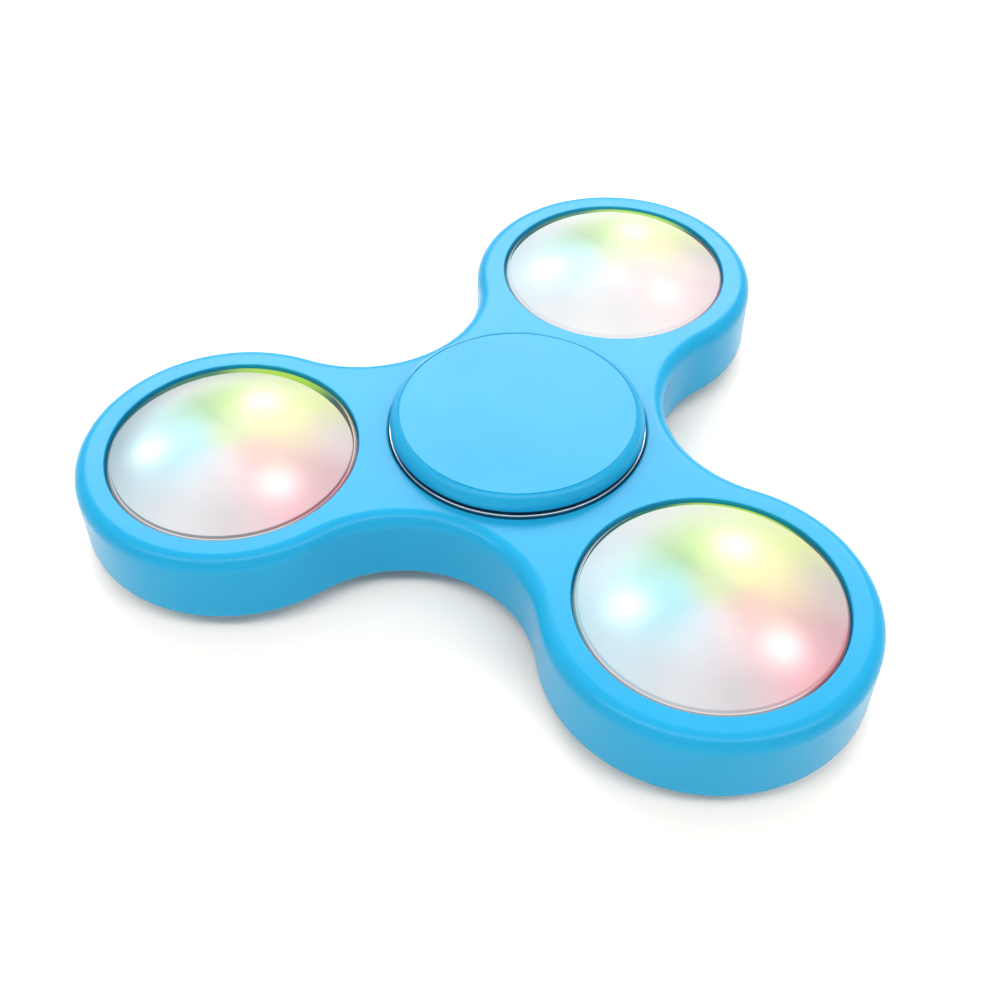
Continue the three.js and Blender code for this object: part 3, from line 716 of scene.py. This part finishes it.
def make_body():
    skin_levels = [
        (BOTTOM_EDGE * (1 - math.sin(angle)), BODY_BOTTOM + BOTTOM_EDGE * (1 - math.cos(angle)))
        for angle in quarter_turn(6)
    ] + [
        (TOP_EDGE * (1 - math.cos(angle)), BODY_TOP - TOP_EDGE * (1 - math.sin(angle)))
        for angle in quarter_turn(14)
    ]
    bm = bmesh.new()
    skin = [
        [bm.verts.new((x, y, height)) for x, y in body_outline(inset)] for inset, height in skin_levels
    ]
    count = len(skin[0])
    for low, high in zip(skin, skin[1:]):
        for step in range(count):
            after = (step + 1) % count
            bm.faces.new((low[step], low[after], high[after], high[step]))
    bm.faces.new(reversed(skin[0]))
    bm.faces.new(skin[-1])
    body = new_object("body", bm)
    seat = BEARING["radius"] + FIT
    cutters = [hole_cutter("bearing seat", [], (0, 0), seat, BEARING_SEAT_ROUND)]
    ledges = [
        (SEAT_RADIUS, LOWER_LEDGE),
        (THROAT_RADIUS, LOWER_LEDGE),
        (THROAT_RADIUS, UPPER_LEDGE),
        (SEAT_RADIUS, UPPER_LEDGE),
    ]
    for lobe in range(LOBES):
        centre = polar(LOBE_DISTANCE, lobe_direction(lobe))
        cutters.append(hole_cutter("capsule seat", ledges, centre, SEAT_RADIUS, CAPSULE_SEAT_ROUND))
    return cut(body, *cutters)


stand_in(make_body(), "body_frame", "blue_plastic", blue_plastic)

# -------- finger caps


def cap_face():
    """The upper cap's outside, from under its rim to the middle of its face."""
    rim, face, rounding, score = CAP["rim"], CAP["face"], CAP["side"], CAP["score"]
    side_centre = rim - rounding
    crease = math.acos((face - side_centre) / rounding)
    side_height = OVERALL - rounding * math.sin(crease)
    under = BEARING_TOP + RUNNING
    side = []
    for step in range(13):
        angle = crease * step / 12
        radius = side_centre + rounding * math.cos(angle)
        side.append((radius, side_height + rounding * math.sin(angle)))
    return [
        (CAP["boss"], BEARING_TOP + FIT, 0.1),
        (CAP["boss"], under),
        (rim, under, 0.15),
        *side,
        (face - score / 2, OVERALL - score),
        (face - score, OVERALL - score),
        (face - 1.6 * score, OVERALL, 0.03),
        (0, OVERALL),
    ]


STEM_END = MIDDLE + 2 * FIT  # of the upper cap's stem, and as far below the middle on the lower cap
PIN_END = MIDDLE - PIN["length"]
SOCKET_END = PIN_END - 2 * FIT
upper_cap = [
    (0, PIN_END),
    (PIN["radius"], PIN_END, 0.25),
    (PIN["radius"], STEM_END),
    (CAP["stem"], STEM_END, 0.15),
    (CAP["stem"], BEARING_TOP + FIT),
    *cap_face(),
]
mirrored = [(point[0], OVERALL - point[1], *point[2:]) for point in reversed(cap_face())]
lower_cap = [
    *mirrored,
    (CAP["stem"], BEARING_BOTTOM - FIT),
    (CAP["stem"], MIDDLE - 2 * FIT, 0.15),
    (PIN["socket"], MIDDLE - 2 * FIT, 0.15),
    (PIN["socket"], SOCKET_END),
    (0, SOCKET_END),
]
stand_in(turned("upper cap", upper_cap, 160), "top_cap", "blue_plastic", blue_plastic)
stand_in(turned("lower cap", lower_cap, 160), "bottom_cap", "blue_plastic", blue_plastic)

# -------- ball bearing


def groove(shoulder, steps=16):
    """A race's groove as points from the upper shoulder to the lower one."""
    pitch, race = BEARING["pitch"], BEARING["race"]
    meets = math.acos((shoulder - pitch) / race)
    sweep = 2 * math.pi - 2 * meets if shoulder < pitch else -2 * meets
    angles = [meets + sweep * step / steps for step in range(steps + 1)]
    return [(pitch + race * math.cos(angle), MIDDLE + race * math.sin(angle)) for angle in angles]


def make_bearing():
    bore, radius, shoulder = (BEARING[size] for size in ("bore", "radius", "outer_shoulder"))
    seat, depth = BEARING["shield_seat"], BEARING["seat_depth"]
    outer = [
        (seat, BEARING_BOTTOM, 0.1),
        (radius, BEARING_BOTTOM, 0.1),
        (radius, BEARING_TOP, 0.1),
        (seat, BEARING_TOP, 0.1),
        (seat, BEARING_TOP - depth),
        (shoulder, BEARING_TOP - depth, 0.08),
        *groove(shoulder),
        (shoulder, BEARING_BOTTOM + depth, 0.08),
        (seat, BEARING_BOTTOM + depth),
    ]
    shoulder = BEARING["inner_shoulder"]
    inner = [
        (bore, BEARING_BOTTOM, 0.25),
        (shoulder, BEARING_BOTTOM, 0.12),
        *reversed(groove(shoulder)),
        (shoulder, BEARING_TOP, 0.12),
        (bore, BEARING_TOP, 0.25),
    ]
    stand_in(turned("outer ring", outer, 144, True), "bearing_outer_ring", "bearing_steel", ring_steel)
    stand_in(turned("inner ring", inner, 96, True), "bearing_inner_ring", "bearing_steel", ring_steel)
    make_shield("bearing_shield_top", BEARING_TOP, -1)
    make_shield("bearing_shield_bottom", BEARING_BOTTOM, 1)
    make_cage()
    for index in range(BALLS):
        ball = round_ball("ball", BEARING["ball"])
        ball.location = ball_place(index)
        stand_in(ball, f"bearing_ball_{index + 1}", "ball_steel", ball_steel)


def make_shield(node, face, inwards):
    """A pressed disc: a crimped edge, a shallow step down and a flat web to the bore."""
    bore, step, edge = (SHIELD[size] for size in ("bore", "step", "edge"))
    near = face + inwards * SHIELD["inset"]
    far = near + inwards * SHIELD["thickness"]
    web = near + inwards * SHIELD["dish"]
    profile = [
        (bore, web, 0.03),
        (step, web, 0.05),
        (step + 0.2, near, 0.05),
        (edge, near, 0.08),
        (edge, far, 0.05),
        (bore, far, 0.03),
    ]
    stand_in(turned("shield", profile, 128, True), node, "shield_steel", shield_steel)


def ball_place(index):
    return (*(polar(BEARING["pitch"], index * 360 / BALLS) * MM), MIDDLE * MM)


def round_ball(name, radius, cuts=10):
    """A ball from a finely divided cube pushed out to the radius, so that its faces are even."""
    bm = bmesh.new()
    bmesh.ops.create_cube(bm, size=2)
    bmesh.ops.subdivide_edges(bm, edges=bm.edges, cuts=cuts, use_grid_fill=True)
    for vert in bm.verts:
        evened = Vector((math.tan(c * math.pi / 4) for c in vert.co))
        vert.co = evened.normalized() * radius
    return new_object(name, bm)


def make_cage():
    floor, crown = MIDDLE - CAGE["floor"], MIDDLE + CAGE["crown"]
    band = [
        (CAGE["inner"], floor, 0.12),
        (CAGE["outer"], floor, 0.12),
        (CAGE["outer"], crown, 0.1),
        (CAGE["inner"], crown, 0.1),
    ]
    cage = turned("cage", band, 144, True)
    pockets = []
    for index in range(BALLS):
        pocket = round_ball("pocket", CAGE["pocket"])
        pocket.location = ball_place(index)
        pockets.append(pocket)
    stand_in(cut(cage, *pockets), "bearing_cage", "cage_steel", cage_steel)


make_bearing()

# -------- capsules


def dome_height(radius):
    return LENS_FLANGE_TOP + DOME_STEP + DOME_RISE * (1 - (radius / DOME_RADIUS) ** DOME_POWER)


def dome(radii, drop=0.0):
    return [(radius, dome_height(radius) - drop) for radius in radii]


def spread(start, end, steps):
    return [start + (end - start) * step / steps for step in range(steps + 1)]


def make_lens():
    skirt_inner, skirt_outer = LENS_SKIRT
    foot = BOARD["top"] + FIT
    under = CUP_FLANGE_TOP + FIT
    profile = [
        *dome(spread(0, skirt_inner, 24), LENS_WALL),
        (skirt_inner, foot, 0.08),
        (skirt_outer, foot, 0.08),
        (skirt_outer, under, 0.06),
        (FLANGE_RADIUS, under, 0.06),
        (FLANGE_RADIUS, LENS_FLANGE_TOP, 0.08),
        (DOME_RADIUS, LENS_FLANGE_TOP, 0.03),
        (DOME_RADIUS, LENS_FLANGE_TOP + DOME_STEP, 0.12),
        *dome(spread(DOME_RADIUS - 0.3, 0, 40)),
    ]
    return turned("lens", profile, 160)


def make_cup():
    floor = COVER_TOP + FIT
    seat = UPPER_LEDGE + FIT
    profile = [
        (CUP["under_board"], floor, 0.1),
        (CUP["outer"], floor, 0.1),
        (CUP["outer"], seat),
        (CUP["flange"], seat, 0.05),
        (CUP["flange"], CUP_FLANGE_TOP, 0.08),
        (CUP["over_board"], CUP_FLANGE_TOP, 0.05),
        (CUP["over_board"], UNDER_BOARD),
        (CUP["under_board"], UNDER_BOARD, 0.08),
    ]
    return turned("cup", profile, 128, True)


def make_back_cover():
    spigot_inner, spigot_outer = COVER["spigot"]
    spigot_top = COVER_TOP + COVER["spigot_rise"]
    profile = [
        (0, BODY_BOTTOM),
        (COVER["radius"], BODY_BOTTOM, 0.2),
        (COVER["radius"], COVER_TOP, 0.1),
        (spigot_outer, COVER_TOP),
        (spigot_outer, spigot_top, 0.08),
        (spigot_inner, spigot_top, 0.08),
        (spigot_inner, COVER_TOP),
        (0, COVER_TOP),
    ]
    cover = turned("cover", profile, 128)
    bm = bmesh.new()
    hole, flare = COVER["hole"], 0.15
    mouth = [
        (0, BODY_BOTTOM - PAST),
        (hole + flare, BODY_BOTTOM - PAST),
        (hole + flare, BODY_BOTTOM),
        (hole + 0.04, BODY_BOTTOM + 0.04),
        (hole, BODY_BOTTOM + flare),
        (hole, COVER_TOP + PAST),
        (0, COVER_TOP + PAST),
    ]
    turned_mesh(bm, mouth, 64, centre=(0, -SWITCH_OFFSET))
    return cut(cover, new_object("button hole", bm))


def make_board():
    bottom, top, radius = BOARD["bottom"], BOARD["top"], BOARD["radius"]
    bm = bmesh.new()
    turned_mesh(bm, [(0, bottom), (radius, bottom, 0.06), (radius, top, 0.06), (0, top)], 128)
    board = new_object("board", bm)
    # A slot for each leg of the battery clip.
    half_gauge = CLIP["gauge"] / 2 + CLIP["slot_gap"]
    half_width = CLIP["width"] / 2 + CLIP["slot_gap"]
    slots = []
    for side in (-1, 1):
        slot = bmesh.new()
        middle = side * CLIP_REACH
        low = (middle - half_gauge, CELL_OFFSET - half_width, bottom - PAST)
        high = (middle + half_gauge, CELL_OFFSET + half_width, top + PAST)
        block_mesh(slot, low, high, 0.05)
        slots.append(new_object("slot", slot))
    return cut(board, *slots)


def make_led(direction):
    """A surface-mounted LED: a white package with a sloping well full of phosphor resin."""
    base = BOARD["top"] + FIT
    top = base + LED["height"]
    half_length, half_width = LED["length"] / 2, LED["width"] / 2
    bm = bmesh.new()
    block_mesh(bm, (-half_length, -half_width, base), (half_length, half_width, top), 0.08)
    package = new_object("led", bm)
    well = bmesh.new()
    floor = top - LED["depth"]
    slope = [(0, floor), (LED["well_floor"], floor), (LED["well"], top)]
    turned_mesh(well, [*slope, (LED["well"] + 0.05, top + 0.5), (0, top + 0.5)], 48)
    cut(package, new_object("well", well))
    filled = bmesh.new()
    filled.from_mesh(package.data)
    filled.transform(Matrix.Scale(1 / MM, 4))
    resin = [
        (0, floor + 0.01),
        (LED["well_floor"] - 0.01, floor + 0.01),
        (LED["well"] - 0.05, top - 0.08),
        (0.7, top - 0.04),
        (0, top - 0.02),
    ]
    turned_mesh(filled, resin, 48, material=1)
    place = Matrix.Translation((*polar(LED_DISTANCE, direction), 0))
    filled.transform(place @ Matrix.Rotation(math.radians(direction - 90), 4, "Z"))
    bpy.data.objects.remove(package)
    return new_object("led", filled)


def make_chip():
    """A six-legged chip, hung under the board."""
    x, y = CHIP["x"], CHIP["y"]
    half_width, half_length = CHIP["width"] / 2, CHIP["length"] / 2
    low = (x - half_width, y - half_length, UNDER_BOARD - CHIP["height"])
    high = (x + half_width, y + half_length, UNDER_BOARD - CHIP["standoff"])
    bm = bmesh.new()
    block_mesh(bm, low, high, 0.06)
    # A leg comes out of the side, and turns up and out again to the board.
    leg = [(0.6, 0.6), (0.7, 0.6), (0.73, 0.3), (0.74, 0.06), (0.8, 0.055)]
    half_leg = CHIP_LEG["width"] / 2
    for side in (-1, 1):
        for row in (-1, 0, 1):
            line = [(x + side * out, UNDER_BOARD - down) for out, down in leg]
            middle = y + row * CHIP_LEG["pitch"]
            strip_mesh(bm, line, CHIP_LEG["gauge"], middle - half_leg, middle + half_leg, material=1)
    return new_object("chip", bm)


def make_contact():
    """The bowed leaf over the cell."""
    length, width, gauge, bow = (CONTACT[size] for size in ("length", "width", "gauge", "bow"))
    line = []
    for x in spread(-length / 2, length / 2, 24):
        line.append((x, UNDER_BOARD - gauge / 2 - bow * (1 - (2 * x / length) ** 2)))
    bm = bmesh.new()
    strip_mesh(bm, line, gauge, CELL_OFFSET - width / 2, CELL_OFFSET + width / 2)
    return new_object("contact", bm)


def make_cell():
    """A coin cell: the can, the raised cap and the dark seal between them."""
    radius, cap = CELL["radius"], CELL["cap"]
    top = CELL_BOTTOM + CELL["height"]
    shoulder = top - CELL["step"]
    inside = shoulder - 0.14  # the seal and the cap start inside the can
    can = [
        (0, CELL_BOTTOM),
        (radius, CELL_BOTTOM, 0.3),
        (radius, shoulder, 0.18),
        (cap + 0.35, shoulder, 0.05),
        (cap + 0.3, shoulder - 0.15),
        (0, shoulder - 0.15),
    ]
    seal = [
        (cap - 0.05, inside),
        (cap + 0.29, inside),
        (cap + 0.28, shoulder + 0.01, 0.02),
        (cap - 0.05, shoulder + 0.01),
    ]
    lid = [(0, inside), (cap - 0.08, inside), (cap - 0.08, top, 0.14), (0, top)]
    centre = (0, CELL_OFFSET)
    bm = bmesh.new()
    turned_mesh(bm, can, 96, centre)
    turned_mesh(bm, seal, 96, centre, closed=True, material=1)
    turned_mesh(bm, lid, 96, centre)
    return new_object("cell", bm)


CLIP_REACH = CELL["radius"] + CLIP["side_gap"] + CLIP["gauge"] / 2


def make_clip():
    """A strip bent up on either side of the cell, whose legs pass through the board."""
    gauge, width, bend = CLIP["gauge"], CLIP["width"], CLIP["bend"]
    bottom = CELL_BOTTOM - FIT - gauge / 2
    right = [
        (CLIP_REACH - bend + bend * math.sin(angle), bottom + bend - bend * math.cos(angle))
        for angle in quarter_turn(8)
    ]
    line = [(0, bottom), *right, (CLIP_REACH, BOARD["top"] - 0.6), (CLIP_REACH, BOARD["top"])]
    line = [(-x, z) for x, z in reversed(line[1:])] + line
    bm = bmesh.new()
    strip_mesh(bm, line, gauge, CELL_OFFSET - width / 2, CELL_OFFSET + width / 2)
    return new_object("clip", bm)


def make_switch():
    half = SWITCH["side"] / 2
    bm = bmesh.new()
    low = (-half, -SWITCH_OFFSET - half, SWITCH_BOTTOM)
    high = (half, -SWITCH_OFFSET + half, UNDER_BOARD)
    block_mesh(bm, low, high, 0.1)
    housing = new_object("switch", bm)
    radius, floor = SWITCH["well"], SWITCH_BOTTOM + SWITCH["depth"]
    mouth = radius + 0.15
    profile = [
        (0, SWITCH_BOTTOM - PAST),
        (mouth, SWITCH_BOTTOM - PAST),
        (mouth, SWITCH_BOTTOM),
        (radius, SWITCH_BOTTOM + 0.1),
        (radius, floor),
        (0, floor),
    ]
    well = bmesh.new()
    turned_mesh(well, profile, 48, centre=(0, -SWITCH_OFFSET))
    return cut(housing, new_object("well", well))


def make_plunger():
    radius = PLUNGER["radius"]
    top = SWITCH_BOTTOM + PLUNGER["above"]
    profile = [(0, PLUNGER_TIP), (radius, PLUNGER_TIP, 0.15), (radius, top, 0.08), (0, top)]
    bm = bmesh.new()
    turned_mesh(bm, profile, 48, centre=(0, -SWITCH_OFFSET))
    return new_object("plunger", bm)


def make_button():
    """The push button, with a shallow dish in its face for the fingertip."""
    radius, flange, dish, depth = (BUTTON[size] for size in ("radius", "flange", "dish", "dish_depth"))
    shoulder, top = COVER_TOP + FIT, PLUNGER_TIP - FIT
    profile = [
        (0, BUTTON_FACE + depth),
        (dish / 2, BUTTON_FACE + 0.85 * depth),
        (dish - 0.15, BUTTON_FACE + 0.2 * depth),
        (dish, BUTTON_FACE, 0.05),
        (radius, BUTTON_FACE, 0.22),
        (radius, shoulder),
        (flange, shoulder, 0.08),
        (flange, top, 0.1),
        (0, top),
    ]
    bm = bmesh.new()
    turned_mesh(bm, profile, 64, centre=(0, -SWITCH_OFFSET))
    return new_object("button", bm)


for lobe in range(LOBES):
    number = lobe + 1
    # The lens is the same all round, so it stays unturned and its glow keeps the same directions.
    lens = put_in_lobe(make_lens(), lobe, turn=False)
    for look, amount in LENS_LOOKS[lobe].items():
        lens[look] = amount
    stand_in(lens, f"lens_{number}", "milky_lens", lens_plastic)
    for make, node, slot, materials in (
        (make_cup, "capsule_cup", "cup_plastic", [white_plastic]),
        (make_board, "circuit_board", "board_laminate", [laminate]),
        (make_chip, "controller_chip", "chip_resin", [chip_resin, spring_steel]),
        (make_contact, "battery_contact", "contact_brass", [brass]),
        (make_cell, "coin_cell", "cell_can", [cell_steel, seal_rubber]),
        (make_clip, "battery_clip", "clip_steel", [spring_steel]),
        (make_switch, "switch_housing", "switch_plastic", [black_plastic]),
        (make_plunger, "switch_plunger", "switch_plastic", [black_plastic]),
        (make_button, "push_button", "button_plastic", [white_plastic]),
        (make_back_cover, "back_cover", "cover_plastic", [white_plastic]),
    ):
        stand_in(put_in_lobe(make(), lobe), f"{node}_{number}", slot, *materials)
    for index, colour in enumerate(("yellow", "cyan", "red")):
        # The same colour lies in the same direction on the whole spinner, whatever the lobe's turn.
        led = put_in_lobe(make_led(90 + (index - lobe) * 120), lobe)
        stand_in(led, f"led_{colour}_{number}", f"led_{colour}", led_package, led_resin[colour])

# -------- floor, light and camera


def make_floor():
    bm = bmesh.new()
    bmesh.ops.create_grid(bm, x_segments=8, y_segments=8, size=2000)
    floor = new_object("floor", bm)
    paper = Shader("pale paper floor", Roughness=0.9, Specular_IOR_Level=0.1)
    tone = paper.mix(paper.ranged(paper.noise(60), 0, 1), rgba(0.97, 0.91, 0.84), rgba(0.99, 0.93, 0.86))
    floor.data.materials.append(paper.set(Base_Color=tone))


FILL = 0.70
# Each softbox's edges in degrees from straight up (positive towards the camera), its half width, how
# soft its edges are, and its radiance.
SOFTBOXES = [
    (-67, -33, 36, 15, 8.0),
    (12, 32, 55, 8, 6.0),
]

CAMERA_AZIMUTH = 23.0
CAMERA_ELEVATION = 46.17
CAMERA_DISTANCE = 108.1
CAMERA_AIM = Vector((2.24, -8.91, BODY_TOP))
CAMERA_ROLL = 0.28
LENS_MM = 47.98


def make_camera():
    turn, rise = math.radians(CAMERA_AZIMUTH), math.radians(CAMERA_ELEVATION)
    back = Vector((math.sin(turn) * math.cos(rise), -math.cos(turn) * math.cos(rise), math.sin(rise)))
    camera = bpy.data.cameras.new("camera")
    camera.lens = LENS_MM
    camera.sensor_width = 36
    camera.clip_start, camera.clip_end = 0.005, 10
    thing = bpy.data.objects.new("camera", camera)
    thing.location = (CAMERA_AIM + back * CAMERA_DISTANCE) * MM
    roll = Matrix.Rotation(math.radians(CAMERA_ROLL), 4, "Z")
    pointed = back.to_track_quat("Z", "Y").to_matrix().to_4x4()
    thing.matrix_world = Matrix.Translation(thing.location) @ pointed @ roll
    bpy.context.scene.collection.objects.link(thing)
    bpy.context.scene.camera = thing


def make_world():
    """Studio light as a smooth sky: a fill and soft-edged softboxes, behind and over the camera."""
    world = bpy.data.worlds.new("studio")
    world.use_nodes = True
    tree = world.node_tree
    studio = Sky(tree)
    radiance = FILL
    for softbox in SOFTBOXES:
        radiance = studio.calc("ADD", radiance, studio.softbox(*softbox))
    background = tree.nodes["Background"]
    background.inputs["Color"].default_value = rgba(1, 1, 1)
    tree.links.new(radiance, background.inputs["Strength"])
    bpy.context.scene.world = world


make_floor()
make_world()
make_camera()
bpy.context.scene.view_settings.view_transform = "Standard"
